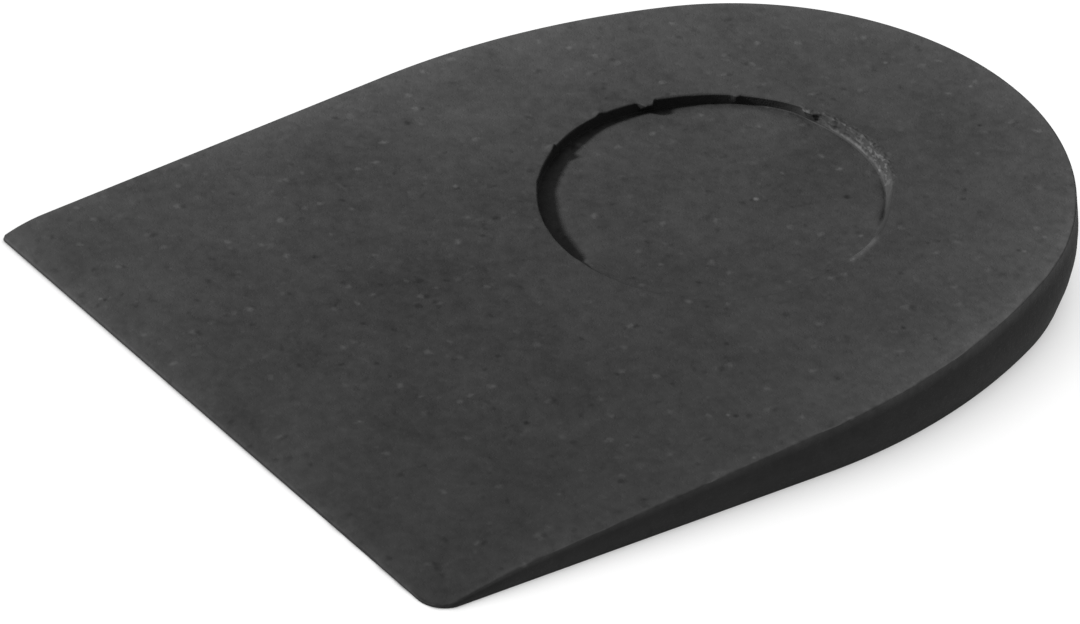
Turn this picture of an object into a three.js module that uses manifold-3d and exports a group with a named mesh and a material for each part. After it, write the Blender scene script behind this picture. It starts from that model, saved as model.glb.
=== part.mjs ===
// Heel wedge: one piece of closed-cell foam, worn inside a shoe under the heel.
// Millimetres, +Z up. The wedge lies on its flat base at Z = 0, and the origin is under the middle of its outline.
// -Y is the thin straight edge, towards the toes. +Y is the thick rounded end, under the heel.

import * as THREE from "three";
import { mergeVertices } from "three/addons/utils/BufferGeometryUtils.js";
import Module from "manifold-3d";

const wasm = await Module();
wasm.setup();

// Driving dimensions: the outline, seen from above.
const LENGTH = 81;
const FRONT_WIDTH = 60.5;
const FRONT_CORNER_RADIUS = 2.3;
const SIDE_FLARE = THREE.MathUtils.degToRad(0.4);
const FLANK_RADIUS = 64;
const HEEL_RADIUS = 27.4;

// Driving dimensions: the wedge, seen from the side. The slope would meet the front edge at its own height there,
// but over the last stretch the top rolls down to a thinner edge.
const SLOPE_FRONT_HEIGHT = 1.0;
const HEEL_THICKNESS = 8.2;
const FRONT_ROLL_LENGTH = 4;
const FRONT_EDGE_THICKNESS = 0.4;

// Driving dimensions: the round recess sunk square into the sloping top.
const RECESS_DIAMETER = 30;
const RECESS_DEPTH = 1.1;
const RECESS_FROM_FRONT = 50.7;
const RECESS_WALL_LEAN = 0.2;

// How finely round stretches are cut into flats, and how far a cutter reaches past what it cuts.
const CHORD_ERROR = 0.015;
const CUTTER_OVERRUN = 5;

// Values that follow from the driving dimensions.
const FRONT_Y = -LENGTH / 2;
const HEEL_Y = LENGTH / 2;
const RECESS_RADIUS = RECESS_DIAMETER / 2;
const TOP_SLOPE = Math.atan2(HEEL_THICKNESS - SLOPE_FRONT_HEIGHT, LENGTH);

/** Height of the slope's plane above the base at a place along the wedge. */
function slopeHeight(y) {
  return SLOPE_FRONT_HEIGHT + (y - FRONT_Y) * Math.tan(TOP_SLOPE);
}

/** Number of flats that keeps an arc within the chord error. */
function flatsFor(radius, turn) {
  return Math.ceil(Math.abs(turn) / (2 * Math.acos(1 - CHORD_ERROR / radius)));
}

/** Points along an arc from one angle to another, both ends included. */
function arc(centre, radius, from, to) {
  const flats = flatsFor(radius, to - from);
  return Array.from({ length: flats + 1 }, (_, step) => {
    const angle = from + ((to - from) * step) / flats;
    return new THREE.Vector2(centre.x + radius * Math.cos(angle), centre.y + radius * Math.sin(angle));
  });
}

/**
 * Right half of the outline, from the front corner to the heel's last point on the centre line.
 * A straight side flares out from the corner, a wide flank arc takes it over, and a heel arc ends it.
 * The heel arc's centre lies on the centre line. The flank arc touches the side and, from inside, the heel arc.
 */
function rightHalfOutline() {
  const outward = new THREE.Vector2(Math.cos(SIDE_FLARE), -Math.sin(SIDE_FLARE));
  const along = new THREE.Vector2(Math.sin(SIDE_FLARE), Math.cos(SIDE_FLARE));
  const corner = new THREE.Vector2(FRONT_WIDTH / 2 - FRONT_CORNER_RADIUS, FRONT_Y + FRONT_CORNER_RADIUS);
  const sideStart = corner.clone().addScaledVector(outward, FRONT_CORNER_RADIUS);
  const heel = new THREE.Vector2(0, HEEL_Y - HEEL_RADIUS);

  // The flank's centre is its radius inwards of the side, as far along it as the heel arc allows.
  const flankStart = sideStart.clone().addScaledVector(outward, -FLANK_RADIUS);
  const toHeel = heel.clone().sub(flankStart);
  const across = toHeel.dot(outward);
  const reach = toHeel.dot(along) - Math.sqrt((FLANK_RADIUS - HEEL_RADIUS) ** 2 - across ** 2);
  const flank = flankStart.clone().addScaledVector(along, reach);
  const meeting = heel.clone().sub(flank).angle();

  return [
    ...arc(corner, FRONT_CORNER_RADIUS, -Math.PI / 2, -SIDE_FLARE),
    ...arc(flank, FLANK_RADIUS, -SIDE_FLARE, meeting),
    ...arc(heel, HEEL_RADIUS, meeting, Math.PI / 2).slice(1),
  ];
}

/** Closed outline of the wedge seen from above, the right half followed by its mirror image. */
function outline() {
  const right = rightHalfOutline();
  const left = right.slice(0, -1).reverse();
  return new THREE.Shape([...right, ...left.map((point) => new THREE.Vector2(-point.x, point.y))]);
}

/** Upright foam blank with the wedge's outline, as thick as its heel. */
function blankGeometry() {
  const depth = HEEL_THICKNESS + CUTTER_OVERRUN;
  return new THREE.ExtrudeGeometry(outline(), { depth, bevelEnabled: false });
}

/**
 * The roll of the top at the front, as side profile points in Y and Z from the front edge to the slope.
 * The arc touches the slope's line where the roll starts and passes through the top of the front edge.
 */
function frontRoll() {
  const upward = new THREE.Vector2(-Math.sin(TOP_SLOPE), Math.cos(TOP_SLOPE));
  const startY = FRONT_Y + FRONT_ROLL_LENGTH;
  const start = new THREE.Vector2(startY, slopeHeight(startY));
  const edge = new THREE.Vector2(FRONT_Y, FRONT_EDGE_THICKNESS);
  const toEdge = edge.clone().sub(start);
  const radius = toEdge.lengthSq() / (-2 * toEdge.dot(upward));
  const centre = start.clone().addScaledVector(upward, -radius);
  return arc(centre, radius, edge.sub(centre).angle(), Math.PI / 2 + TOP_SLOPE);
}

/** Everything above the top, as a side profile drawn in Y and Z and carried across the width. */
function topCutterGeometry() {
  const backY = HEEL_Y + CUTTER_OVERRUN;
  const frontY = FRONT_Y - CUTTER_OVERRUN;
  const lidZ = HEEL_THICKNESS + 2 * CUTTER_OVERRUN;
  const profile = new THREE.Shape([
    new THREE.Vector2(frontY, FRONT_EDGE_THICKNESS),
    ...frontRoll(),
    new THREE.Vector2(backY, slopeHeight(backY)),
    new THREE.Vector2(backY, lidZ),
    new THREE.Vector2(frontY, lidZ),
  ]);
  const depth = FRONT_WIDTH + 4 * CUTTER_OVERRUN;
  const geometry = new THREE.ExtrudeGeometry(profile, { depth, bevelEnabled: false });
  const yzPlane = new THREE.Matrix4().makeBasis(
    new THREE.Vector3(0, 1, 0),
    new THREE.Vector3(0, 0, 1),
    new THREE.Vector3(1, 0, 0),
  );
  return geometry.translate(0, 0, -depth / 2).applyMatrix4(yzPlane);
}

/** The recess as a turned plug whose wall leans outwards, standing square to the sloping top. */
function recessCutterGeometry() {
  const leanPerHeight = RECESS_WALL_LEAN / RECESS_DEPTH;
  const plugHeight = RECESS_DEPTH + CUTTER_OVERRUN;
  const floorRadius = RECESS_RADIUS - RECESS_WALL_LEAN;
  const profile = [
    new THREE.Vector2(0, 0),
    new THREE.Vector2(floorRadius, 0),
    new THREE.Vector2(floorRadius + leanPerHeight * plugHeight, plugHeight),
    new THREE.Vector2(0, plugHeight),
  ];
  const centreY = FRONT_Y + RECESS_FROM_FRONT;
  const floorY = centreY + RECESS_DEPTH * Math.sin(TOP_SLOPE);
  const floorZ = slopeHeight(centreY) - RECESS_DEPTH * Math.cos(TOP_SLOPE);
  return new THREE.LatheGeometry(profile, flatsFor(RECESS_RADIUS, 2 * Math.PI))
    .rotateX(Math.PI / 2 + TOP_SLOPE)
    .translate(0, floorY, floorZ);
}

/** Solid for cutting, from a closed geometry. */
function toSolid(geometry) {
  geometry.deleteAttribute("normal");
  geometry.deleteAttribute("uv");
  const merged = mergeVertices(geometry);
  return new wasm.Manifold(
    new wasm.Mesh({
      numProp: 3,
      vertProperties: new Float32Array(merged.attributes.position.array),
      triVerts: new Uint32Array(merged.index.array),
    }),
  );
}

/** Geometry with flat-shaded faces, from a finished solid. */
function toGeometry(solid) {
  const mesh = solid.getMesh();
  const geometry = new THREE.BufferGeometry();
  geometry.setAttribute("position", new THREE.BufferAttribute(mesh.vertProperties, mesh.numProp));
  geometry.setIndex(new THREE.BufferAttribute(mesh.triVerts, 1));
  geometry.computeVertexNormals();
  return geometry;
}

/** The foam wedge: the blank pared to its slope, with the recess sunk into the top. */
function makeWedge() {
  const pared = toSolid(blankGeometry()).subtract(toSolid(topCutterGeometry()));
  const recessed = pared.subtract(toSolid(recessCutterGeometry()));
  const foam = new THREE.MeshStandardMaterial({ color: 0x3f3f3f, roughness: 0.9, metalness: 0 });
  const wedge = new THREE.Mesh(toGeometry(recessed), foam);
  wedge.name = "wedge";
  return wedge;
}

const heelWedge = new THREE.Group();
heelWedge.add(makeWedge());

export default heelWedge;
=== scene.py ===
"""Looks of a heel wedge: one pared and punched piece of black closed-cell foam on a light table.

Sizes are in millimetres in the part's own frame: +Z up, +Y towards the heel, the base on Z = 0 and the
origin under the middle of the outline. Bearings are in degrees about the recess's middle, anticlockwise
from +X. Meshes are handed to Blender in metres.
"""

import logging
import math
from dataclasses import dataclass
from enum import Enum
from itertools import product

import bpy
import numpy as np
from bpy.types import Light, Material, Mesh, Node, NodeSocket, NodeTree, Object
from mathutils import Matrix, Vector


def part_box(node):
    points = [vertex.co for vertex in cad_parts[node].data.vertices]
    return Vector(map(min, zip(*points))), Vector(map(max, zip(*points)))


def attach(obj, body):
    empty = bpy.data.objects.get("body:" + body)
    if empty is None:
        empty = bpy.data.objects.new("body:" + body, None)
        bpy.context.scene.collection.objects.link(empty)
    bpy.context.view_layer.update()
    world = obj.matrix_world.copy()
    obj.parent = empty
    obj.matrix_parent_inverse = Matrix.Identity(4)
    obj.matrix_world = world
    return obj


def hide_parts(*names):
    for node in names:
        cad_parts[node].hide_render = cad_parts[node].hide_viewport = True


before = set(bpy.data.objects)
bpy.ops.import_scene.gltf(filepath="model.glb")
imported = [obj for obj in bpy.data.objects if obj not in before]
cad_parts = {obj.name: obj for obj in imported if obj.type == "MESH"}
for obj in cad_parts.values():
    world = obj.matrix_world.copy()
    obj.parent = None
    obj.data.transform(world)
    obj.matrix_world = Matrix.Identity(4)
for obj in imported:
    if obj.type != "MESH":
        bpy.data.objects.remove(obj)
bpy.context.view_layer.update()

LOG = logging.getLogger("heel_wedge")
MM = 0.001
WEDGE_NODE = "wedge"
BODY = "root"
TORN = "torn"
WEAR_AND_PAINTED_SHADING = "wear_and_painted_shading"
TINY = 1e-9
Array = np.ndarray
Table = tuple[tuple[float, float], ...]
Place = tuple[float, float, float]


class Zone(Enum):
    """Kinds of foam surface. The value is the number of the material that dresses it."""

    PARED = 0
    CUT = 1
    BASE = 2


def smooth_step(low: float, high: float, values: Array) -> Array:
    """Rises as 3t^2 - 2t^3 from 0 at low to 1 at high, or falls where low is above high."""
    share = np.clip((values - low) / (high - low), 0.0, 1.0)
    return share * share * (3.0 - 2.0 * share)


def bell(distance: Array | float, width: float) -> Array:
    """Bell curve of a distance: 1 at no distance, and 1/e at the width."""
    return np.exp(-((distance / width) ** 2))


def row_shares(count: int) -> Array:
    """Even shares of a band's way, past its start up to 1, as a column of rows."""
    return (np.arange(1, count + 1) / count)[:, None]


def crowd_ends(shares: Array, strength: float) -> Array:
    """Shares moved towards both ends: each less strength times the sine of its full turn over two pi."""
    return shares - strength * np.sin(2.0 * math.pi * shares) / (2.0 * math.pi)


def arc(centre: Array, radius: float, start: float, end: float, count: int) -> Array:
    """Points (count, 2) along a circle: its centre plus the radius at evenly spaced angles in radians."""
    angles = np.linspace(start, end, count)
    return centre + radius * np.stack([np.cos(angles), np.sin(angles)], axis=-1)


def add_object(name: str, data: bpy.types.ID) -> Object:
    """Adds an object to the scene.

    Args:
        name: its name.
        data: its mesh, light or camera.

    Returns:
        The object.
    """
    added = bpy.data.objects.new(name, data)
    bpy.context.scene.collection.objects.link(added)
    return added


class Relief:
    """Smooth random relief, the same each run: a lattice of random values, blended between its points."""

    CELLS = 48
    ASIDE = np.array([17.0, 5.0, 29.0])

    def __init__(self, seed: int) -> None:
        """Draws the lattice from a seed."""
        self.lattice = np.random.default_rng(seed).uniform(-1.0, 1.0, (self.CELLS,) * 3)

    def at(self, points: Array, size: float) -> Array:
        """Relief at points, from -1 to 1.

        Args:
            points: array (..., 3).
            size: spacing of the lattice, about the width of one lump.

        Returns:
            Array (...): the eight lattice values round a point, weighted by a quintic fade along each axis.
        """
        scaled = points / size
        corner = np.floor(scaled).astype(int)
        share = scaled - corner
        fade = share**3 * (share * (share * 6.0 - 15.0) + 10.0)
        total = np.zeros(points.shape[:-1])
        for offset in product((0, 1), repeat=3):
            index = (corner + np.array(offset)) % self.CELLS
            weight = np.where(np.array(offset) == 1, fade, 1.0 - fade).prod(axis=-1)
            total += weight * self.lattice[index[..., 0], index[..., 1], index[..., 2]]
        return total


@dataclass(frozen=True)
class Outline:
    """Outline of the wedge seen from above: straight front, flaring sides, flank arcs and a heel arc."""

    length: float
    front_width: float = 60.5
    right_corner: float = 2.3
    left_corner: float = 0.3
    flare: float = math.radians(0.4)
    flank_radius: float = 64.0
    heel_radius: float = 27.4
    arc_points: int = 240
    tangent_step: float = 5e-4

    def right_half(self, corner_radius: float) -> Array:
        """Right half, from the front's middle round the corner and the flank to the heel's end.

        Args:
            corner_radius: radius of the front corner.

        Returns:
            Array (n, 2). The flank arc touches the straight side and, from outside, the heel arc.
        """
        front = -self.length / 2
        outward = np.array([math.cos(self.flare), -math.sin(self.flare)])
        along = np.array([math.sin(self.flare), math.cos(self.flare)])
        corner = np.array([self.front_width / 2 - corner_radius, front + corner_radius])
        heel = np.array([0.0, self.length / 2 - self.heel_radius])
        flank_start = corner + outward * (corner_radius - self.flank_radius)
        to_heel = heel - flank_start
        spare = (self.flank_radius - self.heel_radius) ** 2 - (to_heel @ outward) ** 2
        flank = flank_start + along * (to_heel @ along - math.sqrt(spare))
        meeting = math.atan2(heel[1] - flank[1], heel[0] - flank[0])
        return np.concatenate([
            np.array([[0.0, front]]),
            arc(corner, corner_radius, -math.pi / 2, -self.flare, self.arc_points),
            arc(flank, self.flank_radius, -self.flare, meeting, self.arc_points),
            arc(heel, self.heel_radius, meeting, math.pi / 2, self.arc_points)[1:],
        ])

    def sample(self, shares: Array) -> Array:
        """Points at shares of the way round, anticlockwise from the front's middle.

        Args:
            shares: array (n,) of any real numbers; whole turns don't matter.

        Returns:
            Array (n, 2), found by length along the right half and the mirror image of its like on the left.
        """
        left = self.right_half(self.left_corner) * np.array([-1.0, 1.0])
        loop = np.concatenate([self.right_half(self.right_corner), left[-2::-1]])
        lengths = np.concatenate([[0.0], np.cumsum(np.linalg.norm(np.diff(loop, axis=0), axis=1))])
        place = (shares % 1.0) * lengths[-1]
        return np.stack([np.interp(place, lengths, loop[:, axis]) for axis in (0, 1)], axis=-1)

    def outward(self, shares: Array) -> Array:
        """Outward unit normals at shares of the way round.

        Args:
            shares: array (n,).

        Returns:
            Array (n, 2): the tangent over a short step to either side, turned a quarter clockwise.
        """
        tangent = self.sample(shares + self.tangent_step) - self.sample(shares - self.tangent_step)
        normal = np.stack([tangent[:, 1], -tangent[:, 0]], axis=-1)
        return normal / np.linalg.norm(normal, axis=1, keepdims=True)


@dataclass(frozen=True)
class Slope:
    """Top of the wedge seen from the side: a straight slope that rolls down to a thin front edge."""

    length: float
    heel_thickness: float
    front_height: float = 1.0
    roll_length: float = 4.0
    edge_thickness: float = 0.4

    @property
    def angle(self) -> float:
        """Angle of the slope above the base, in radians."""
        return math.atan2(self.heel_thickness - self.front_height, self.length)

    def plane(self, y: Array) -> Array:
        """Height of the slope's plane above the base, at places along the wedge."""
        return self.front_height + (y + self.length / 2) * math.tan(self.angle)

    def height(self, y: Array) -> Array:
        """Height of the top above the base.

        Args:
            y: places along the wedge.

        Returns:
            The plane's height, and before the roll's start the height of an arc that touches the plane there
            and passes through the top of the front edge.
        """
        upward = np.array([-math.sin(self.angle), math.cos(self.angle)])
        start_y = -self.length / 2 + self.roll_length
        start = np.array([start_y, self.plane(start_y)])
        to_edge = np.array([-self.length / 2, self.edge_thickness]) - start
        radius = (to_edge @ to_edge) / (-2.0 * (to_edge @ upward))
        centre = start - radius * upward
        rolled = centre[1] + np.sqrt(np.maximum(radius**2 - (y - centre[0]) ** 2, 0.0))
        return np.where(y < start_y, rolled, self.plane(y))


@dataclass(frozen=True)
class Stretch:
    """Stretch of bearings, full at its middle and nothing at its ends.

    Attributes:
        bearing: its middle.
        spread: how far it reaches to either side, in degrees.
        blunt: 1 for a rounded stretch, more for one with a flat middle.
    """

    bearing: float
    spread: float
    blunt: float = 1.0

    def share(self, bearings: Array) -> Array:
        """How full the stretch is at bearings, from 0 to 1."""
        gap = np.abs((bearings - self.bearing + 180.0) % 360.0 - 180.0)
        return np.clip(self.blunt * smooth_step(self.spread, 0.0, gap), 0.0, 1.0)


@dataclass(frozen=True)
class Flaw(Stretch):
    """Small flaw of the recess's rim.

    Attributes:
        inward: how far the foam sticks into the recess.
        raised: how far it stands above the top.
    """

    inward: float = 0.0
    raised: float = 0.0


@dataclass(frozen=True)
class Recess:
    """Round recess punched into the slope, clean and undercut on the left and torn on the right.

    The rim and the wall's foot are tables of bearing and radius, because the foam gave way unevenly.
    """

    from_front: float = 50.7
    depth: float = 1.1
    rim_round: float = 0.12
    rubbed_round: float = 0.14
    rim: Table = (
        (2, 13.7), (14, 13.75), (27, 13.85), (40, 13.85), (50, 14.05), (61, 14.65), (75, 15),
        (110, 15.1), (141, 14.95), (158, 14.88), (175, 15.05), (190, 15.15), (215, 15.05), (235, 15.05),
        (268, 15.08), (285, 14.95), (325, 14.9), (340, 14.5), (350, 14.05),
    )
    foot: Table = (
        (2, 13.5), (14, 13.55), (27, 13.65), (40, 13.7), (50, 13.85), (61, 14.15), (75, 14.5),
        (88, 14.7), (96, 14.85), (106, 15), (112, 15.2), (117, 15.55), (125, 15.65), (141, 15.3),
        (158, 15.15), (190, 15.3), (215, 15.2), (268, 15.18), (285, 14.85), (325, 14.75), (340, 14.3),
        (350, 13.85),
    )
    foot_depth: Table = (
        (2, 0.4), (14, 0.45), (24, 0.5), (33, 0.52), (42, 0.6), (57, 1), (70, 1.1), (110, 1.15),
        (125, 1.25), (158, 1.25), (180, 1.1), (225, 1.2), (245, 1.6), (265, 2.2), (271, 0.4),
        (278, 0.15), (300, 0.2), (335, 0.35),
    )
    foot_sharpness: float = 6.0
    smoothing: tuple[float, ...] = (-3.0, -1.5, 0.0, 1.5, 3.0)
    tear: Stretch = Stretch(bearing=82.0, spread=36.0, blunt=2.0)
    press: Stretch = Stretch(bearing=20.5, spread=12.0, blunt=2.0)
    fade_out: Stretch = Stretch(bearing=38.0, spread=24.0)
    fade_round: float = 0.26
    kerf: Table = (
        (38, 0), (44, 0.22), (49, 0.26), (55, 0.1), (62, 0.16), (70, 0), (86, 0), (94, 0.08), (102, 0),
    )
    kerf_width: float = 0.2
    threads: Table = (
        (60, 0), (65, 0.6), (71, 1), (80, 1), (86, 0.7), (94, 0.45), (108, 0.4), (115, 0),
    )
    ragged_rim: Table = (
        (60, 0), (65, 0.6), (71, 1), (80, 0.95), (86, 0.6), (100, 0.6), (113, 0.8), (118, 0),
    )
    strand: Table = ((66, 0), (73, 0.9), (85, 1), (100, 1), (106, 0))
    smear: Table = ((48, 0), (55, 0.7), (62, 1), (68, 0.4), (73, 0))
    # Painted shade by bearing: how dark the floor by the wall's foot and the wall are painted in the
    # undercut corner on the left, where the rim's shadow falls.
    painted_corner_shade: Table = ((107, 0), (115, 0.7), (150, 1), (212, 1), (228, 0.2), (262, 0.2), (272, 0))
    lip_height: float = 0.05
    lip_width: float = 0.5
    flaws: tuple[Flaw, ...] = (
        Flaw(bearing=166.2, spread=3.4, inward=0.75, raised=0.03, blunt=1.5),
        Flaw(bearing=208.0, spread=2.6, inward=0.05, raised=0.42),
        Flaw(bearing=136.0, spread=2.0, inward=0.25, raised=0.05),
        Flaw(bearing=183.0, spread=2.5, inward=-0.12, raised=0.12),
        Flaw(bearing=227.0, spread=3.5, inward=-0.07, raised=0.0),
        Flaw(bearing=110.5, spread=4.4, inward=0.55, raised=0.08, blunt=1.5),
        Flaw(bearing=101.5, spread=1.8, inward=0.2, raised=0.08),
    )

    def look_up(self, table: Table, bearings: Array) -> Array:
        """Values from a table at bearings.

        Args:
            table: bearings and their values.
            bearings: the bearings to look up.

        Returns:
            Array of the means over neighbouring bearings of values on straight lines between the rows.
        """
        known, values = np.array(table).T
        turns = [np.interp(bearings + turn, known, values, period=360.0) for turn in self.smoothing]
        return np.mean(turns, axis=0)

    def rim_radius(self, bearings: Array) -> Array:
        """Radius of the rim at bearings: the table's, less where a flaw sticks in."""
        inward = sum(flaw.inward * flaw.share(bearings) for flaw in self.flaws)
        return self.look_up(self.rim, bearings) - inward

    def floor_drop(self, bearings: Array, reach: Array, foot: Array) -> Array:
        """Depth of the floor below the top.

        Args:
            bearings: bearings of the points.
            reach: their distance from the middle.
            foot: distance of the wall's foot from the middle.

        Returns:
            Array: the depth in the middle, which turns to the table's depth at the foot with a power of the
            reach, and below it the knife's cut, a bell curve of the distance from the foot.
        """
        change = self.look_up(self.foot_depth, bearings) - self.depth
        cut = self.look_up(self.kerf, bearings) * bell(foot - reach, self.kerf_width)
        return self.depth + change * (reach / foot) ** self.foot_sharpness + cut

    def rounding(self, bearings: Array) -> Array:
        """Radius of the rounded rim at bearings, larger where it is rubbed or fades out."""
        rubbed = self.rubbed_round * self.press.share(bearings)
        return self.rim_round + np.maximum(rubbed, self.fade_round * self.fade_out.share(bearings))

    def lip(self, bearings: Array) -> Array:
        """How far the rim stands above the top, at bearings."""
        flaws = sum(flaw.raised * flaw.share(bearings) for flaw in self.flaws)
        return self.lip_height * np.maximum(self.press.share(bearings), self.tear.share(bearings)) + flaws


@dataclass
class Band:
    """One band of the surface: rows of points round the recess's middle, and what is special about them.

    Attributes:
        points: array (rows, columns, 3).
        zone: kind of surface.
        lump: height of the gentle relief, to fit the points.
        torn: how far the foam is torn, from 0 to 1, to fit the points.
        wear_and_painted_shading: how far the foam is rubbed pale, about 0 to 1, with painted light added and
            painted shade taken off, to fit the points.
        nick: depth of the small nicks, to fit the points.
    """

    points: Array
    zone: Zone
    lump: Array | float
    torn: Array | float = 0.0
    wear_and_painted_shading: Array | float = 0.0
    nick: Array | float = 0.0


@dataclass(frozen=True)
class FoamWedge:
    """The whole wedge as one closed surface.

    The surface is a grid. Its columns go round the recess's middle, and its rows go from that middle over
    the recess's floor, up its wall, over the top, down the side and under the base to the point below.
    """

    outline: Outline
    slope: Slope
    recess: Recess
    columns: int = 940
    trial_columns: int = 4001
    torn_columns: float = 1.8
    floor_rows: int = 20
    floor_crowding: float = 1.5
    wall_rows: int = 16
    rim_rows: int = 4
    top_rows: int = 50
    top_crowding: float = 0.7
    edge_rows: int = 5
    side_rows: int = 6
    bottom_rows: int = 2
    base_rows: int = 2
    edge_round: float = 0.14
    bottom_round: float = 0.1
    thin_share: float = 0.3
    bulge_share: float = 0.073
    bulge_power: float = 1.2
    tuck: float = 0.24
    tucked: Stretch = Stretch(bearing=28.0, spread=55.0)
    corner_wear: float = 0.48
    corner_reach: float = 5.0
    rub_width: float = 0.8
    rub_strength: float = 0.15
    # Painted light: reach and strength of the paler band along the top's border, then how much more of it
    # and of the rubbing the right side gets.
    painted_light_reach: float = 9.0
    painted_light_strength: float = 0.62
    right_wear_and_painted_light: float = 1.3
    right_side: Stretch = Stretch(bearing=20.0, spread=70.0)
    # Painted shade on the side just below the top edge: negative, so darker.
    upper_side_painted_shade: float = -0.2
    floor_wear: float = 0.2
    # Painted shade in the recess: its strength on the floor and on the wall and its reach from the foot in
    # the undercut corner, then the strength of the darkening painted into the knife's cut.
    corner_shade_strength: float = 0.9
    wall_corner_shade: float = 0.25
    corner_shade_width: float = 0.7
    kerf_shade: float = 3.0
    # Painted shade: strength and reach of the darkening over the rolled front edge.
    front_shade_strength: float = 0.4
    front_shade_width: float = 5.0
    top_lump: float = 0.03
    side_lump: float = 0.025
    rim_lump: float = 0.09
    edge_lump: float = 0.12
    edge_nick: float = 0.4
    fray_width: float = 0.35
    frayed: Stretch = Stretch(bearing=-28.0, spread=72.0)
    broad_share: float = 0.6
    broad_size: float = 2.6
    fine_size: float = 1.0
    nick_size: float = 1.3
    nick_from: float = 0.3
    tear_reach: float = 0.3
    tear_height: float = 0.17
    tear_size: float = 0.5
    shred_share: float = 0.4
    shred_size: float = 0.24
    thread_torn: float = 0.95
    strand_worn: float = 1.6
    strand_climb: float = 0.2
    strand_width: float = 0.12
    smear_worn: float = 0.75
    clean_foot: float = 0.15
    # Paler foam on the pressed rim and the top beside it, partly a painted highlight where the key light
    # falls on the rim's wall.
    pressed_paling_and_highlight: float = 1.7
    pressed_width: float = 0.3
    seed: int = 11

    @property
    def middle(self) -> Array:
        """Middle of the recess in plan."""
        return np.array([0.0, self.recess.from_front - self.outline.length / 2])

    def shares(self) -> Array:
        """Places of the columns round the outline.

        Returns:
            Array (columns,) of shares, closer together where the recess's wall is torn: even steps of a
            running sum that grows faster over those bearings.
        """
        fine = np.linspace(0.0, 1.0, self.trial_columns)
        offset = self.outline.sample(fine) - self.middle
        bearings = np.degrees(np.arctan2(offset[:, 1], offset[:, 0]))
        density = 1.0 + self.torn_columns * self.recess.tear.share(bearings)
        running = np.concatenate([[0.0], np.cumsum((density[1:] + density[:-1]) / 2)])
        return np.interp(np.arange(self.columns) / self.columns, running / running[-1], fine)

    def in_recess(self, radius: Array, turn: Array, drop: Array) -> Array:
        """Points by their place about the recess's axis, which is square to the slope.

        Args:
            radius: distance from the axis.
            turn: angle about it in radians.
            drop: depth below the slope's plane.

        Returns:
            Array (..., 3).
        """
        along = radius * np.sin(turn)
        sine = math.sin(self.slope.angle)
        cosine = math.cos(self.slope.angle)
        x = radius * np.cos(turn)
        y = self.middle[1] + along * cosine + drop * sine
        z = self.slope.plane(self.middle[1]) + along * sine - drop * cosine
        return np.stack(np.broadcast_arrays(x, y, z), axis=-1)

    def recess_bands(self, turn: Array) -> list[Band]:
        """Floor, wall and rounded rim of the recess.

        Args:
            turn: angle of each column in radians.

        Returns:
            The bands in order. The floor's rows crowd towards the wall, the wall goes straight from its foot
            to the rim, and the rim is a quarter of a small circle.
        """
        recess = self.recess
        bearings = np.degrees(turn)[None]
        rim = recess.rim_radius(bearings)
        foot = recess.look_up(recess.foot, bearings)
        reach = (1.0 - (1.0 - row_shares(self.floor_rows)) ** self.floor_crowding) * foot
        floor_drop = recess.floor_drop(bearings, reach, foot)
        climb = row_shares(self.wall_rows)
        lip = recess.lip(bearings)
        rounding = recess.rounding(bearings)
        foot_drop = floor_drop[-1:]
        wall_drop = foot_drop + (rounding - foot_drop - lip) * climb
        painted_corner_shade = recess.look_up(recess.painted_corner_shade, bearings)
        threads = recess.look_up(recess.threads, bearings)
        wall_torn = self.thread_torn * threads * smooth_step(0.0, self.clean_foot, climb)
        strand = recess.look_up(recess.strand, bearings) * bell(climb - self.strand_climb, self.strand_width)
        smear = recess.look_up(recess.smear, bearings)
        # The wall's tone: paler strands and smear, less painted shade in the undercut corner.
        wall_tone_and_shade = self.strand_worn * strand + self.smear_worn * smear - self.wall_corner_shade * painted_corner_shade
        wall_lump = self.side_lump + (self.rim_lump - self.side_lump) * climb**2
        bend = row_shares(self.rim_rows) * math.pi / 2
        rim_reach = rim + rounding * (1.0 - np.cos(bend))
        rim_drop = rounding * (1.0 - np.sin(bend)) - lip
        rim_torn = self.thread_torn * recess.look_up(recess.ragged_rim, bearings)
        # The pressed rim is painted paler, partly as a highlight where the key light falls on it.
        rim_paling_and_highlight = self.pressed_paling_and_highlight * recess.press.share(bearings)
        kerf = recess.look_up(recess.kerf, bearings) * bell(foot - reach, recess.kerf_width)
        # Painted shade: the floor is darkened near the foot in the undercut corner and in the knife's cut.
        painted_recess_shade = self.corner_shade_strength * painted_corner_shade * bell(foot - reach, self.corner_shade_width) + self.kerf_shade * kerf
        floor_tone_and_shade = self.floor_wear * (reach / foot) ** 2 - painted_recess_shade
        floor = self.in_recess(reach, turn, floor_drop)
        wall = self.in_recess(foot + (rim - foot) * climb, turn, wall_drop)
        return [
            Band(floor, Zone.PARED, self.top_lump, 0.0, floor_tone_and_shade),
            Band(wall, Zone.CUT, wall_lump, wall_torn, wall_tone_and_shade),
            Band(self.in_recess(rim_reach, turn, rim_drop), Zone.CUT, self.rim_lump, rim_torn, rim_paling_and_highlight),
        ]

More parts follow.
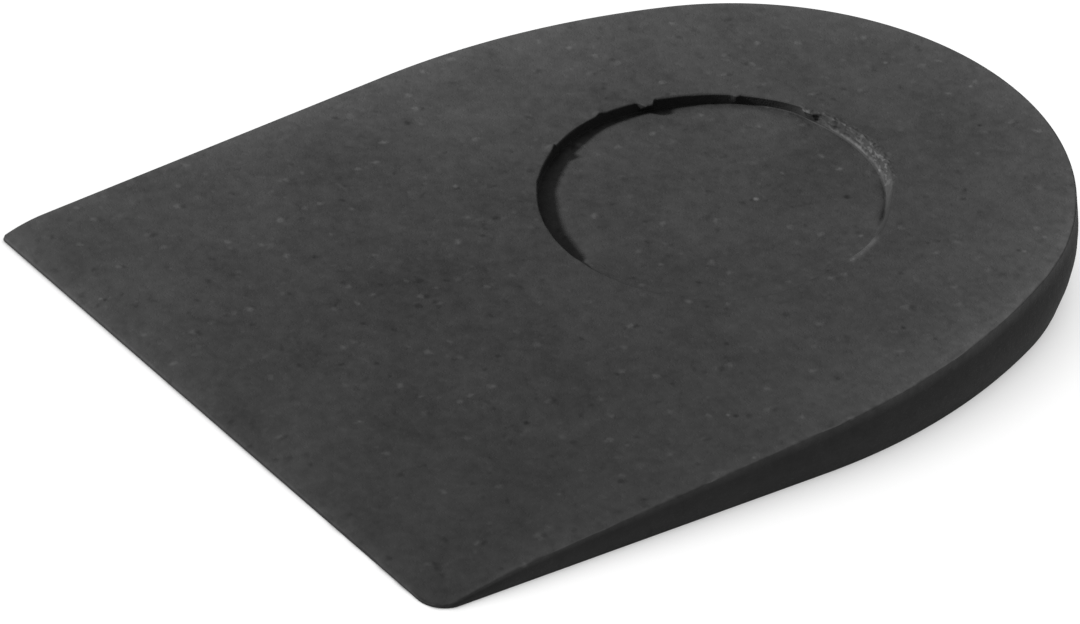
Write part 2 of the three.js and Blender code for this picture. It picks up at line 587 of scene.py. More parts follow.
    def outer_bands(self, turn: Array, rounds: Array, shares: Array) -> list[Band]:
        """Top, rounded upper edge, side, rounded lower edge and base.

        Args:
            turn: angle of each column about the recess in radians.
            rounds: points (columns, 2) of the outline.
            shares: places of the columns round the outline.

        Returns:
            The bands in order. The top's rows go straight from the rim to the outline, at the slope's
            height. The side bulges by a power of half a sine wave, and tucks in with the fall's square.
        """
        recess = self.recess
        bearings = np.degrees(turn)[None]
        outward = self.outline.outward(shares)[None]
        border = rounds[None]
        thickness = self.top_height(border)
        edge = np.minimum(self.edge_round, self.thin_share * thickness)
        bottom = np.minimum(self.bottom_round, self.thin_share * thickness)
        rim = self.in_recess(recess.rim_radius(bearings) + recess.rounding(bearings), turn, 0.0)[..., :2]
        way = crowd_ends(row_shares(self.top_rows), self.top_crowding)
        inner_border = border - outward * edge[..., None]
        top = rim + (inner_border - rim) * way[..., None]
        from_rim = np.linalg.norm(top - rim, axis=-1)
        from_border = np.linalg.norm(top - inner_border, axis=-1)
        near_rim = bell(from_rim, recess.lip_width)
        top_z = self.top_height(top) + recess.lip(bearings) * near_rim
        ragged = self.thread_torn * recess.look_up(recess.ragged_rim, bearings)
        top_torn = ragged * bell(from_rim, self.tear_reach)
        # Paler streak by the pressed rim, partly a painted highlight.
        pressed_streak_and_highlight = self.pressed_paling_and_highlight * recess.press.share(bearings) * bell(from_rim, self.pressed_width)
        frayed = self.frayed.share(bearings)
        nick = self.edge_nick
        top_fray = frayed * bell(from_border, self.fray_width)
        top_lump = self.top_lump + (self.rim_lump - self.top_lump) * near_rim + self.edge_lump * top_fray
        # The top's tone: rubbed paling and painted light by the border, less painted shade at the front,
        # plus the pressed rim's streak.
        top_wear_and_shading = self.wear_and_painted_shading(bearings, from_border) - self.front_painted_shade(top) + pressed_streak_and_highlight
        bend = row_shares(self.edge_rows) * math.pi / 2
        edge_plan = border - outward * (edge * (1.0 - np.sin(bend)))[..., None]
        edge_z = self.top_height(edge_plan) - edge * (1.0 - np.cos(bend))
        edge_wear_and_shading = self.wear_and_painted_shading(bearings, 0.0) - self.front_painted_shade(edge_plan)
        edge_points = self.stack(edge_plan, edge_z)
        fall = row_shares(self.side_rows)
        tuck = self.tuck * self.tucked.share(bearings)
        swell = np.maximum(np.sin(math.pi * fall), 0.0) ** self.bulge_power
        bulge = self.bulge_share * thickness * swell - tuck * fall**2
        side_plan = border + outward * bulge[..., None]
        side_z = (thickness - edge) * (1.0 - fall) + bottom * fall
        side_fray = frayed * bell(fall * thickness, self.fray_width)
        side_lump = self.side_lump + self.edge_lump * side_fray
        # Painted shade: the side darker just below the top edge.
        side_shading = self.upper_side_painted_shade * side_fray
        under = row_shares(self.bottom_rows) * math.pi / 2
        lower_plan = border - outward * (tuck + bottom * (1.0 - np.cos(under)))[..., None]
        lower_z = bottom * (1.0 - np.sin(under))
        back = row_shares(self.base_rows + 1)[:-1]
        base_plan = lower_plan[-1:] + (self.middle - lower_plan[-1:]) * back[..., None]
        return [
            Band(self.stack(top, top_z), Zone.PARED, top_lump, top_torn, top_wear_and_shading, nick * top_fray),
            Band(edge_points, Zone.PARED, self.edge_lump * frayed, 0.0, edge_wear_and_shading, nick * frayed),
            Band(self.stack(side_plan, side_z), Zone.CUT, side_lump, 0.0, side_shading, nick * side_fray),
            Band(self.stack(lower_plan, lower_z), Zone.CUT, 0.0),
            Band(self.stack(base_plan, np.zeros((1, 1))), Zone.BASE, 0.0),
        ]

    def wear_and_painted_shading(self, bearings: Array, from_border: Array | float) -> Array:
        """How far the top is rubbed pale near its border, with painted light added over a broad band.

        Args:
            bearings: bearings of the points.
            from_border: their distance from the border.

        Returns:
            Array: a narrow bell curve of the distance for the rubbed edge, and a broad fade of painted
                light, both stronger on the right.
        """
        rub = bell(from_border, self.rub_width)
        # Painted light: a broad paler band along the border, stronger on the right.
        fade = np.exp(-from_border / self.painted_light_reach)
        side = 1.0 + self.right_wear_and_painted_light * self.right_side.share(bearings)
        return side * (self.rub_strength * rub + self.painted_light_strength * fade)

    def top_height(self, plan: Array) -> Array:
        """Height of the top: the slope's, less near the rubbed-down right corner.

        Args:
            plan: array (..., 2).

        Returns:
            Array (...): the slope's height times one less a bell curve about the corner.
        """
        corner = np.array([self.outline.front_width / 2, -self.outline.length / 2])
        wear = self.corner_wear * bell(np.linalg.norm(plan - corner, axis=-1), self.corner_reach)
        return self.slope.height(plan[..., 1]) * (1.0 - wear)

    def front_painted_shade(self, plan: Array) -> Array:
        """Painted shade on the rolled front edge, at places in plan: darkest at the edge itself and fading
        over the front.
        """
        from_front = plan[..., 1] + self.outline.length / 2
        return self.front_shade_strength * smooth_step(self.front_shade_width, 0.0, from_front)

    @staticmethod
    def stack(plan: Array, z: Array) -> Array:
        """Points from places in plan and heights, spread to fit each other.

        Args:
            plan: array (rows, columns, 2), or 1 row for all.
            z: array (rows, columns), or 1 for either.

        Returns:
            Array (rows, columns, 3).
        """
        shape = np.broadcast_shapes(plan.shape[:2], z.shape)
        spread = np.broadcast_to(plan, shape + (2,))
        return np.concatenate([spread, np.broadcast_to(z, shape)[..., None]], axis=-1)

    @staticmethod
    def gather(bands: list[Band], name: str) -> Array:
        """One named value of the bands, for each point of the grid."""
        values = [np.broadcast_to(getattr(band, name), band.points.shape[:2]) for band in bands]
        return np.concatenate(values)

    @staticmethod
    def normals(points: Array) -> Array:
        """Outward unit normals of the grid.

        Args:
            points: array (rows, columns, 3).

        Returns:
            Array of the same shape: the step to the next row crossed with the step to the next column.
        """
        down = np.gradient(points, axis=0)
        around = np.roll(points, -1, axis=1) - np.roll(points, 1, axis=1)
        normal = np.cross(down, around)
        return normal / np.maximum(np.linalg.norm(normal, axis=-1, keepdims=True), TINY)

    def relief(self, points: Array, bands: list[Band]) -> Array:
        """Height of the relief that roughens the plain surface.

        Args:
            points: the grid's points.
            bands: its bands, in order.

        Returns:
            Array (rows, columns): gentle lumps of two sizes everywhere, nicks where a relief is high, and
            on torn foam sharp ridges, where a relief passes through 0, with fine shreds.
        """
        noise = Relief(self.seed)
        broad = noise.at(points, self.broad_size)
        fine = noise.at(points + noise.ASIDE, self.fine_size)
        lumps = self.broad_share * broad + (1.0 - self.broad_share) * fine
        nicks = np.maximum(noise.at(points - noise.ASIDE, self.nick_size) - self.nick_from, 0.0)
        ridges = 1.0 - 2.0 * np.abs(noise.at(points, self.tear_size))
        shreds = (1.0 - self.shred_share) * ridges + self.shred_share * noise.at(points, self.shred_size)
        even = self.gather(bands, "lump") * lumps - self.gather(bands, "nick") * nicks
        return even + self.tear_height * self.gather(bands, "torn") * shreds

    def build(self) -> Object:
        """Builds the wedge's object, with its attributes and the material number of each face.

        Returns:
            The object, at the origin.
        """
        shares = self.shares()
        rounds = self.outline.sample(shares)
        turn = np.arctan2(rounds[:, 1] - self.middle[1], rounds[:, 0])
        bands = self.recess_bands(turn) + self.outer_bands(turn, rounds, shares)
        plain = np.concatenate([band.points for band in bands])
        grid = plain + self.normals(plain) * self.relief(plain, bands)[..., None]
        poles = np.stack([grid[0].mean(axis=0), np.array([0.0, self.middle[1], 0.0])])
        zones = np.concatenate([np.full(len(band.points), band.zone.value) for band in bands])
        mesh = self.mesh(grid, poles, zones)
        for name in (TORN, WEAR_AND_PAINTED_SHADING):
            values = np.concatenate([self.gather(bands, name).ravel(), np.zeros(len(poles))])
            layer = mesh.attributes.new(name, "FLOAT", "POINT")
            layer.data.foreach_set("value", values.astype(np.float32))
        return add_object("foam_wedge", mesh)

    @staticmethod
    def mesh(grid: Array, poles: Array, zones: Array) -> Mesh:
        """Joins the grid into a closed mesh.

        Args:
            grid: array (rows, columns, 3) in millimetres, closed on itself round the columns.
            poles: the points that close the first and the last row.
            zones: material number of each row.

        Returns:
            A smooth-shaded mesh in metres of quads, with a fan of triangles at either pole.
        """
        rows, columns = grid.shape[:2]
        here = np.arange(columns)
        after = np.roll(here, -1)
        start = np.arange(rows - 1)[:, None] * columns
        below = start + columns
        quads = np.stack([start + here, below + here, below + after, start + after], axis=-1)
        first_pole = rows * columns
        last = (rows - 1) * columns
        first_fan = np.stack([np.full(columns, first_pole), here, after], axis=-1)
        last_fan = np.stack([last + here, np.full(columns, first_pole + 1), last + after], axis=-1)
        numbers = np.concatenate([np.repeat(zones[1:], columns), np.repeat(zones[[0, -1]], columns)])
        points = np.concatenate([grid.reshape(-1, 3), poles]) * MM
        mesh = bpy.data.meshes.new("foam_wedge")
        faces = quads.reshape(-1, 4).tolist() + first_fan.tolist() + last_fan.tolist()
        mesh.from_pydata(points.tolist(), [], faces)
        mesh.polygons.foreach_set("material_index", numbers.astype(np.int32))
        mesh.polygons.foreach_set("use_smooth", np.ones(len(numbers), dtype=bool))
        mesh.update(calc_edges=True)
        mesh.validate()
        return mesh


class Graph:
    """Short way of adding shader nodes to one tree and joining them."""

    NOISE_MIDDLE = 0.5
    MIX_COLOURS = (6, 7)
    MIX_RESULT = 2

    def __init__(self, tree: NodeTree) -> None:
        """Keeps the tree of a material, a world or a node group."""
        self.tree = tree

    def add(self, kind: str, inputs: dict | None = None, **settings: object) -> Node:
        """Adds a node.

        Args:
            kind: Blender's name for the kind of shader node.
            inputs: values or output sockets for its inputs, by name or number.
            **settings: properties of the node.

        Returns:
            The new node.
        """
        node = self.tree.nodes.new(f"ShaderNode{kind}")
        for name, value in settings.items():
            setattr(node, name, value)
        for key, value in (inputs or {}).items():
            self.join(value, node.inputs[key])
        return node

    def join(self, value: object, socket: NodeSocket) -> None:
        """Links an output socket to an input, or sets the input's own value.

        Args:
            value: output socket or plain value.
            socket: the input.
        """
        if isinstance(value, NodeSocket):
            self.tree.links.new(value, socket)
        else:
            socket.default_value = value

    def math(self, operation: str, *values: object) -> NodeSocket:
        """Result of a Math node on numbers or sockets."""
        return self.add("Math", dict(enumerate(values)), operation=operation).outputs[0]

    def vector(self, operation: str, *values: object) -> NodeSocket:
        """Result of a Vector Math node on vectors or sockets."""
        return self.add("VectorMath", dict(enumerate(values)), operation=operation).outputs[0]

    def ramp(self, value: object, low: float, high: float) -> NodeSocket:
        """Smooth clamped share of the way from low to high."""
        inputs = {"Value": value, "From Min": low, "From Max": high}
        return self.add("MapRange", inputs, interpolation_type="SMOOTHSTEP").outputs[0]

    def grey(self, share: object, dark: float, pale: float) -> NodeSocket:
        """Colour between two greys, or past them where the share isn't from 0 to 1.

        Args:
            share: socket of the share of the way.
            dark: linear grey at 0.
            pale: linear grey at 1.

        Returns:
            Socket of the colour.
        """
        ends = {key: (tone,) * 3 + (1.0,) for key, tone in zip(self.MIX_COLOURS, (dark, pale))}
        inputs = {"Factor": share, **ends}
        mix = self.add("Mix", inputs, data_type="RGBA", clamp_factor=False)
        return mix.outputs[self.MIX_RESULT]

    def noise(self, place: object, size: float, detail: float = 1.0, rough: float = 0.5) -> NodeSocket:
        """Noise from about -0.5 to 0.5: size of its lumps, and count and strength of its finer layers."""
        inputs = {"Vector": place, "Scale": 1.0 / size, "Detail": detail, "Roughness": rough}
        return self.math("SUBTRACT", self.add("TexNoise", inputs).outputs[0], self.NOISE_MIDDLE)


class FoamGroups:
    """Node groups that the foam finishes share. The sizes are in millimetres."""

    DIMPLE_RANGE = (0.55, 0.1)
    DIMPLE_SHARE = 0.6
    GRIT_SIZE = 0.5
    GRIT_LAYERS = 4.0
    GRIT_ROUGHNESS = 0.7
    PLAIN_TONE = 0.5
    CLOUD_SIZE = 8.0
    PATCH_SIZE = 1.3
    PATCH_LAYERS = 2.0
    GRAIN_SIZE = 0.5
    GRAIN_ASIDE = (3.1,) * 3
    GRAIN_SHARE = 0.55
    PALE_SIZE = 0.95
    PALE_ASIDE = (7.3,) * 3
    DARK_SIZE = 1.05
    DARK_ASIDE = (19.7,) * 3
    FLECK_RANGE = (0.15, 0.32)
    RUB_SIZE = 0.75
    RUB_BREAK = 1.2
    RUB_ASIDE = (31.9,) * 3
    THREAD_SIZE = 0.34
    THREAD_STRETCH = (0.5, 1.0, 1.0)
    THREAD_RANGE = (-0.02, 0.16)
    BETWEEN_THREADS = 0.1
    SPECK_SPACING = 2.2
    SPECK_RARITY = 0.45
    SPECK_FAINTNESS = 3.0
    SPECK_WARP = 0.9
    WARP_SIZE = 0.8
    # Open cells: radius of a pale lit wall, then radius, strength and offset of the painted shade beside it.
    LIT_WALL_RADIUS = 0.46
    PIT_SHADE_RADIUS = 0.46
    PIT_SHADE_SHARE = 0.5
    PIT_SHADE_ASIDE = (-0.32, -0.38, 0.0)

    def __init__(self) -> None:
        """Builds each group once."""
        self.cells = self.build_cells()
        self.tone = self.build_tone()
        self.specks = self.build_specks()

    @staticmethod
    def start(name: str, inputs: dict[str, str], output: str) -> tuple[NodeTree, Graph, dict, NodeSocket]:
        """Starts a node group with named sockets.

        Args:
            name: name of the group.
            inputs: kind of each input socket by name.
            output: name of the float output.

        Returns:
            The group, its graph, its inputs by name and the output's socket.
        """
        group = bpy.data.node_groups.new(name, "ShaderNodeTree")
        for label, kind in inputs.items():
            group.interface.new_socket(label, in_out="INPUT", socket_type=kind)
        group.interface.new_socket(output, in_out="OUTPUT", socket_type="NodeSocketFloat")
        graph = Graph(group)
        source = group.nodes.new("NodeGroupInput")
        sink = group.nodes.new("NodeGroupOutput")
        return group, graph, {label: source.outputs[label] for label in inputs}, sink.inputs[output]

    def build_cells(self) -> NodeTree:
        """Cut foam cells: small round dimples of uneven depth in a fine grit.

        Returns:
            Group with the inputs Place in millimetres and Cell Density per millimetre, and the output
            Height.
        """
        kinds = {"Place": "NodeSocketVector", "Cell Density": "NodeSocketFloat"}
        group, graph, given, result = self.start("foam_cells", kinds, "Height")
        cells = graph.add("TexVoronoi", {"Vector": given["Place"], "Scale": given["Cell Density"]})
        depth = graph.add("SeparateColor", {0: cells.outputs["Color"]}).outputs[0]
        dimple = graph.math("MULTIPLY", graph.ramp(cells.outputs["Distance"], *self.DIMPLE_RANGE), depth)
        grit = graph.noise(given["Place"], self.GRIT_SIZE, self.GRIT_LAYERS, self.GRIT_ROUGHNESS)
        graph.join(graph.math("MULTIPLY_ADD", dimple, -self.DIMPLE_SHARE, grit), result)
        return group

    def build_tone(self) -> NodeTree:
        """Uneven tone of foam: clouds, patches, grain, flecks, and paler torn and rubbed places, with
        painted light and shade.

        Returns:
            Group with the inputs Place in millimetres, Mottle, Flecks, Torn and Wear_And_Painted_Shading,
            and the output Tone, which is 0.5 on plain foam and higher where it is paler.
        """
        kinds = {"Place": "NodeSocketVector"}
        kinds.update({label: "NodeSocketFloat" for label in ("Mottle", "Flecks", "Torn", "Wear_And_Painted_Shading")})
        group, graph, given, result = self.start("foam_tone", kinds, "Tone")
        place = given["Place"]
        clouds = graph.noise(place, self.CLOUD_SIZE)
        patches = graph.noise(place, self.PATCH_SIZE, self.PATCH_LAYERS)
        grain = graph.noise(graph.vector("ADD", place, self.GRAIN_ASIDE), self.GRAIN_SIZE)
        mixed = graph.math("MULTIPLY_ADD", grain, self.GRAIN_SHARE, graph.math("ADD", clouds, patches))
        tone = graph.math("MULTIPLY_ADD", mixed, given["Mottle"], self.PLAIN_TONE)
        pale = self.flecks(graph, graph.vector("ADD", place, self.PALE_ASIDE), self.PALE_SIZE)
        dark = self.flecks(graph, graph.vector("ADD", place, self.DARK_ASIDE), self.DARK_SIZE)
        tone = graph.math("MULTIPLY_ADD", graph.math("SUBTRACT", pale, dark), given["Flecks"], tone)
        # The same noise breaks up the rubbed paling and the painted light and shade.
        broken = graph.noise(graph.vector("ADD", place, self.RUB_ASIDE), self.RUB_SIZE)
        rubbed = graph.math("MULTIPLY_ADD", broken, self.RUB_BREAK, 1.0)
        tone = graph.math("MULTIPLY_ADD", rubbed, given["Wear_And_Painted_Shading"], tone)
        along_wall = graph.vector("MULTIPLY", place, self.THREAD_STRETCH)
        threads = graph.ramp(graph.noise(along_wall, self.THREAD_SIZE), *self.THREAD_RANGE)
        shredded = graph.math("MULTIPLY_ADD", threads, 1.0 - self.BETWEEN_THREADS, self.BETWEEN_THREADS)
        graph.join(graph.math("MULTIPLY_ADD", shredded, given["Torn"], tone), result)
        return group

    def flecks(self, graph: Graph, place: object, size: float) -> NodeSocket:
        """Mask of scattered flecks, about half of the size wide, where a noise stands high."""
        return graph.ramp(graph.noise(place, size), *self.FLECK_RANGE)

    def build_specks(self) -> NodeTree:
        """Sparse open cells: pale lit walls, partly paler torn foam and partly painted highlight, and a
        little aside from them painted shade in the cells' hollows.

        Returns:
            Group with the input Plan, which is the place in millimetres with no height, and the output Tone,
            which is 0 on plain foam, above it on a lit cell wall and below it in a cell's painted shade.
        """
        group, graph, given, result = self.start("foam_specks", {"Plan": "NodeSocketVector"}, "Tone")
        plan = given["Plan"]
        aside = graph.vector("ADD", plan, self.PIT_SHADE_ASIDE)
        # Pale cell walls, partly paler torn foam and partly painted highlight, and painted shade in the
        # cells' hollows a little aside.
        lit_cell_walls = self.scatter(graph, plan, self.LIT_WALL_RADIUS, "Red")
        pit_shade = self.scatter(graph, aside, self.PIT_SHADE_RADIUS, "Green")
        graph.join(graph.math("MULTIPLY_ADD", pit_shade, -self.PIT_SHADE_SHARE, lit_cell_walls), result)
        return group

    def scatter(self, graph: Graph, plan: object, radius: float, channel: str) -> NodeSocket:
        """Spots at some of a scatter of points.

        Args:
            graph: graph of the group.
            plan: socket of the places with no height.
            radius: radius of a spot.
            channel: the random channel that picks the points.

        Returns:
            Socket of the spots' mask, from 0 to 1: it falls with the distance from a picked point, over
            places that a noise pulls aside, and its strength differs from spot to spot.
        """
        inputs = {"Vector": plan, "Scale": 1.0 / self.WARP_SIZE}
        waves = graph.add("TexNoise", inputs).outputs["Color"]
        warped = graph.vector("MULTIPLY_ADD", waves, (self.SPECK_WARP,) * 3, plan)
        inputs = {"Vector": warped, "Scale": 1.0 / self.SPECK_SPACING}
        points = graph.add("TexVoronoi", inputs, voronoi_dimensions="2D")
        draw = graph.add("SeparateColor", {0: points.outputs["Color"]}).outputs[channel]
        spot = graph.ramp(points.outputs["Distance"], radius / self.SPECK_SPACING, 0.0)
        strength = graph.math("POWER", graph.ramp(draw, self.SPECK_RARITY, 1.0), self.SPECK_FAINTNESS)
        return graph.math("MULTIPLY", spot, strength)


@dataclass(frozen=True)
class Mark:
    """Single mark on the pared foam: an open cell, a crumb or a patch of broad painted shade.

    Attributes:
        x: place across the wedge.
        y: place along the wedge.
        radius: radius of the mark.
        tone: how much paler it is than the foam, or darker if negative.
    """

    x: float
    y: float
    radius: float
    tone: float

    def on(self, graph: Graph, plan: object, tone: object) -> NodeSocket:
        """Adds the mark to a tone.

        Args:
            graph: graph of the material.
            plan: socket of the places in millimetres, with no height.
            tone: socket of the tone.

        Returns:
            Socket of the new tone, changed most in the mark's middle.
        """
        away = graph.add("VectorMath", {0: plan, 1: (self.x, self.y, 0.0)}, operation="DISTANCE")
        mask = graph.ramp(away.outputs["Value"], self.radius, 0.0)
        return graph.math("MULTIPLY_ADD", mask, self.tone, tone)


@dataclass(frozen=True)
class FoamFinish:
    """Finish of one kind of foam surface.

    Attributes:
        name: name of the material.
        dark: linear grey where the tone is 0.
        pale: linear grey where the tone is 1.
        mottle: strength of the uneven tone.
        flecks: strength of the pale and dark flecks.
        torn: how much paler torn foam is.
        wear_and_painted_shading: how much paler rubbed foam is, and how strong its painted light and shade
            are.
        cell_density: foam cells per millimetre.
        cell_depth: height of the cells' relief, in millimetres.
        smoothest: roughness in the cells' bottoms.
        roughest: roughness on their edges.
        specks: how strongly the open cells show: paler walls with a painted highlight, and painted shade in
            their hollows.
        specular: strength of the surface's reflection.
        marks: single marks.
        cell_heights: heights of the cells' bottoms and edges, as shares of their relief.
    """

    name: str
    dark: float
    pale: float
    mottle: float
    flecks: float
    torn: float
    wear_and_painted_shading: float
    cell_density: float
    cell_depth: float
    smoothest: float
    roughest: float
    specks: float = 0.0
    specular: float = 0.12
    marks: tuple[Mark, ...] = ()
    cell_heights: tuple[float, float] = (-0.5, 0.3)

    def material(self, groups: FoamGroups) -> Material:
        """Builds the material.

        Args:
            groups: the shared node groups.

        Returns:
            The material, with its colour, roughness and relief varied over the object's own coordinates.
        """
        material = bpy.data.materials.new(self.name)
        material.use_nodes = True
        material.node_tree.nodes.clear()
        graph = Graph(material.node_tree)
        metres = graph.add("TexCoord").outputs["Object"]
        place = graph.vector("MULTIPLY", metres, (1.0 / MM,) * 3)
        plan = graph.vector("MULTIPLY", place, (1.0, 1.0, 0.0))
        torn = graph.add("Attribute", attribute_name=TORN).outputs["Fac"]
        # This attribute carries rubbed paling together with painted light and painted shade.
        wear_and_painted_shading = graph.add("Attribute", attribute_name=WEAR_AND_PAINTED_SHADING).outputs["Fac"]
        tone = graph.add("Group", node_tree=groups.tone, inputs={
            "Place": place,
            "Mottle": self.mottle,
            "Flecks": self.flecks,
            "Torn": graph.math("MULTIPLY", torn, self.torn),
            "Wear_And_Painted_Shading": graph.math("MULTIPLY", wear_and_painted_shading, self.wear_and_painted_shading),
        }).outputs["Tone"]
        specks = graph.add("Group", {"Plan": plan}, node_tree=groups.specks).outputs["Tone"]
        shade = graph.math("MULTIPLY_ADD", specks, self.specks, tone)
        for mark in self.marks:
            shade = mark.on(graph, plan, shade)
        colour = graph.grey(shade, self.dark, self.pale)
        cells = {"Place": place, "Cell Density": self.cell_density}
        height = graph.add("Group", cells, node_tree=groups.cells).outputs["Height"]
        bump = graph.add("Bump", {"Height": height, "Distance": self.cell_depth * MM, "Strength": 1.0})
        low, high = self.cell_heights
        roughness = graph.add("MapRange", {
            "Value": height,
            "From Min": low,
            "From Max": high,
            "To Min": self.smoothest,
            "To Max": self.roughest,
        }).outputs[0]
        shader = graph.add("BsdfPrincipled", {
            "Base Color": colour,
            "Roughness": roughness,
            "Normal": bump.outputs["Normal"],
            "Specular IOR Level": self.specular,
        })
        graph.add("OutputMaterial", {"Surface": shader.outputs["BSDF"]})
        return material


# Single marks of the pared foam. Columns: x, y, radius, tone. A pale mark beside a dark one is an open cell:
# paler torn foam with a painted highlight on its lit wall, and painted shade on the side in shadow. The last
# two rows are broad painted shade over the middle and the front of the top.
SPOTS = tuple(Mark(*row) for row in (
    (1.1, 13.41, 0.36, 2.6), (1.0, 13.05, 0.34, -0.7), (10.65, 16.82, 0.3, 1.2),
    (10.1, 17.0, 0.45, -0.4), (13.3, 11.2, 0.4, -0.6), (13.75, 13.3, 0.4, 0.7), (14.46, 9.9, 0.75, 0.3),
    (15.9, -21.4, 0.42, -0.8), (16.6, -21.9, 0.5, 0.4), (24.35, -7.92, 0.27, 1.5),
    (24.83, -7.49, 0.36, -0.8), (29.9, -9.7, 0.27, 1.2), (-7.2, 33.9, 0.28, 1.4),
    (-0.2, 37.5, 0.28, 1.4), (4.85, 34.3, 0.34, -0.8), (7.9, 31.5, 0.4, 0.6), (-17.8, -39.1, 0.24, 1.2),
    (-17.4, -38.9, 0.3, -0.7), (-17.7, -32.4, 0.32, 0.7), (10.6, -24.0, 0.42, 0.9),
    (20.63, 25.16, 0.32, -0.8), (21.01, 25.49, 0.27, 1.2), (20.39, 28.16, 0.34, 1.1),
    (12.31, 26.19, 0.42, -0.6), (23.45, 10.69, 0.36, -0.8), (15.48, 19.87, 0.32, -0.6),
    (26.07, 11.84, 0.3, -0.5), (22.81, -16.74, 0.28, 0.7), (24.71, -24.8, 0.28, 0.7),
    # Broad painted shade over the middle and the front of the top.
    (1.5, -20.3, 14.0, -0.18), (-1.9, -33.0, 12.0, -0.18),
))
PARED_FOAM = FoamFinish(
    name="pared_foam", dark=0.0116, pale=0.0305, mottle=0.8, flecks=0.35, torn=1.7, wear_and_painted_shading=0.8,
    cell_density=4.2, cell_depth=0.03, smoothest=0.75, roughest=0.95, specks=1.0, marks=SPOTS,
)
CUT_FOAM = FoamFinish(
    name="cut_foam", dark=0.011, pale=0.024, mottle=0.5, flecks=0.3, torn=2.6, wear_and_painted_shading=1.0,
    cell_density=4.6, cell_depth=0.03, smoothest=0.7, roughest=0.9,
)
BASE_FOAM = FoamFinish(
    name="base_foam", dark=0.014, pale=0.028, mottle=0.6, flecks=0.4, torn=0.0, wear_and_painted_shading=0.0,
    cell_density=3.6, cell_depth=0.03, smoothest=0.6, roughest=0.85, specks=1.0,
)


@dataclass(frozen=True)
class PhotoCamera:
    """Camera at the photo's angle: turned, raised and rolled about a pivot, and shifted in its own plane."""

    pivot: Place = (0.0, 0.0, 4.0)
    azimuth: float = math.radians(49.9)
    elevation: float = math.radians(32.79)
    roll: float = math.radians(5.81)
    distance: float = 501.0
    shift_right: float = 6.555
    shift_up: float = 5.727
    focal_px: float = 6102.0
    image_width_px: float = 1080.0
    sensor: float = 36.0
    nearest: float = 10.0
    farthest: float = 20000.0

    def build(self) -> None:
        """Adds the camera and makes it the scene's."""
        turn = Matrix.Rotation(self.azimuth, 4, "Z")
        tilt = Matrix.Rotation(math.pi / 2 - self.elevation, 4, "X")
        roll = Matrix.Rotation(self.roll, 4, "Z")
        back = Matrix.Translation(Vector((-self.shift_right, -self.shift_up, self.distance)) * MM)
        data = bpy.data.cameras.new("photo_camera")
        data.sensor_width = self.sensor
        data.lens = self.sensor * self.focal_px / self.image_width_px
        data.clip_start = self.nearest * MM
        data.clip_end = self.farthest * MM
        camera = add_object("photo_camera", data)
        camera.matrix_world = Matrix.Translation(Vector(self.pivot) * MM) @ turn @ tilt @ roll @ back
        bpy.context.scene.camera = camera


def shine_on(light: Object, target: Object) -> None:
    """Lets a light shine on one object only, while everything still casts shadows in it.

    Args:
        light: the light.
        target: the object that it lights.
    """
    group = bpy.data.collections.new(f"{light.name}_target")
    group.objects.link(target)
    light.light_linking.receiver_collection = group


@dataclass(frozen=True)
class Lamp:
    """Studio lamp, placed by its bearing and elevation in degrees and its distance from the origin."""

    name: str
    bearing: float
    elevation: float
    distance: float
    power: float

    def add(self, data: Light, aim: Place = (0.0, 0.0, 0.0)) -> Object:
        """Adds the lamp out of the camera's sight.

        Args:
            data: the light itself.
            aim: the point that it looks at.

        Returns:
            The lamp's object.
        """
        turn = math.radians(self.bearing)
        rise = math.radians(self.elevation)
        way = Vector((math.cos(turn) * math.cos(rise), math.sin(turn) * math.cos(rise), math.sin(rise)))
        place = way * self.distance
        data.energy = self.power
        light = add_object(self.name, data)
        light.location = place * MM
        light.rotation_euler = (place - Vector(aim)).to_track_quat("Z", "Y").to_euler()
        light.visible_camera = False
        return light


@dataclass(frozen=True)
class Softbox(Lamp):
    """Square soft light that looks at the origin."""

    side: float

    def build(self) -> Object:
        """Adds the light.

        Returns:
            The light's object.
        """
        data = bpy.data.lights.new(self.name, "AREA")
        data.shape = "SQUARE"
        data.size = self.side * MM
        return self.add(data)


@dataclass(frozen=True)
class FeatheredSpot(Lamp):
    """Spotlight whose soft beam is aimed past the wedge, so that its light fades over the top."""

    aim: Place
    cone: float
    radius: float

    def build(self) -> Object:
        """Adds the light.

        Returns:
            The light's object.
        """
        data = bpy.data.lights.new(self.name, "SPOT")
        data.spot_size = math.radians(self.cone)
        data.spot_blend = 1.0
        data.shadow_soft_size = self.radius * MM
        return self.add(data, self.aim)


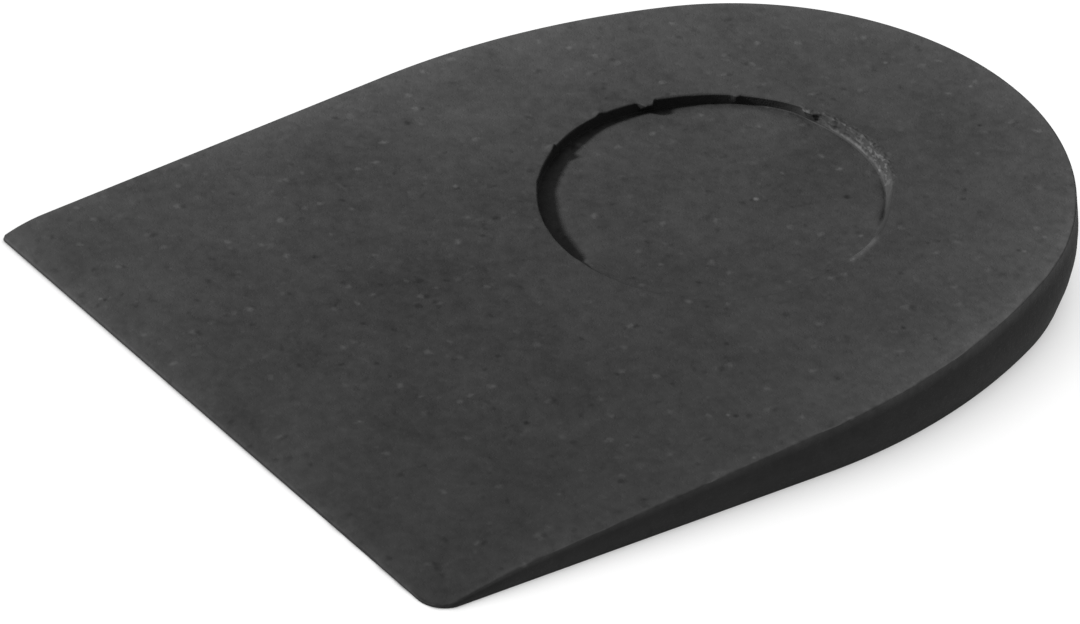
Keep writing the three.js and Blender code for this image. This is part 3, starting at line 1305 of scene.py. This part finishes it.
@dataclass(frozen=True)
class Studio:
    """Light table, soft lights and a white room.

    The hard lights model the foam, and the broad one gives the table its soft shadow.
    """

    floor_side: float = 6000.0
    floor_drop: float = 0.02
    floor_grey: float = 0.5
    floor_glow: float = 0.25
    room_glow: float = 0.6
    foam_lights: tuple[Lamp, ...] = (
        Softbox("key_light", bearing=246.0, elevation=30.0, distance=600.0, side=100.0, power=3.7),
        FeatheredSpot(
            "far_side_light", bearing=244.0, elevation=30.0, distance=600.0, power=38.0,
            aim=(-40.0, 72.0, 4.0), cone=20.0, radius=45.0,
        ),
    )
    table_light: Softbox = Softbox(
        "table_light", bearing=115.0, elevation=75.0, distance=1000.0, side=2000.0, power=25.0,
    )

    def build(self, foam: Object) -> None:
        """Adds the table, the lights and the room.

        Args:
            foam: the wedge, which the hard lights shine on.
        """
        table = self.table()
        for lamp in self.foam_lights:
            shine_on(lamp.build(), foam)
        shine_on(self.table_light.build(), table)
        self.room()
        bpy.context.scene.view_settings.view_transform = "Standard"

    def table(self) -> Object:
        """Adds the glowing white table: one square, a hair under the base.

        Returns:
            The table.
        """
        half = self.floor_side / 2
        corners = np.array([[-half, -half], [half, -half], [half, half], [-half, half]])
        points = np.concatenate([corners, np.full((4, 1), -self.floor_drop)], axis=1) * MM
        mesh = bpy.data.meshes.new("light_table")
        mesh.from_pydata(points.tolist(), [], [(0, 1, 2, 3)])
        material = bpy.data.materials.new("light_table")
        material.use_nodes = True
        shader = material.node_tree.nodes["Principled BSDF"]
        shader.inputs["Base Color"].default_value = (self.floor_grey,) * 3 + (1.0,)
        shader.inputs["Roughness"].default_value = 1.0
        shader.inputs["Specular IOR Level"].default_value = 0.0
        shader.inputs["Emission Color"].default_value = (1.0, 1.0, 1.0, 1.0)
        shader.inputs["Emission Strength"].default_value = self.floor_glow
        mesh.materials.append(material)
        table = add_object("light_table", mesh)
        return table

    def room(self) -> None:
        """Sets the even light of the room, which looks white to the camera."""
        world = bpy.data.worlds.new("room")
        world.use_nodes = True
        world.node_tree.nodes.clear()
        graph = Graph(world.node_tree)
        seen = graph.add("LightPath").outputs["Is Camera Ray"]
        strength = graph.add("MapRange", {"Value": seen, "To Min": self.room_glow, "To Max": 1.0}).outputs[0]
        background = graph.add("Background", {"Color": (1.0, 1.0, 1.0, 1.0), "Strength": strength})
        graph.add("OutputWorld", {"Surface": background.outputs[0]})
        bpy.context.scene.world = world


def main() -> None:
    """Builds and dresses the wedge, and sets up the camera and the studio."""
    logging.basicConfig(level=logging.INFO, format="%(name)s: %(message)s")
    low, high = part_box(WEDGE_NODE)
    length = (high[1] - low[1]) / MM
    heel_thickness = (high[2] - low[2]) / MM
    wedge = FoamWedge(Outline(length), Slope(length, heel_thickness), Recess()).build()
    LOG.info("%s: %d points, %d faces", wedge.name, len(wedge.data.vertices), len(wedge.data.polygons))
    groups = FoamGroups()
    for finish in (PARED_FOAM, CUT_FOAM, BASE_FOAM):
        wedge.data.materials.append(finish.material(groups))
        LOG.info("finish: %s", finish.name)
    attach(wedge, BODY)
    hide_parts(WEDGE_NODE)
    PhotoCamera().build()
    Studio().build(wedge)


if __name__ == "__main__":
    main()
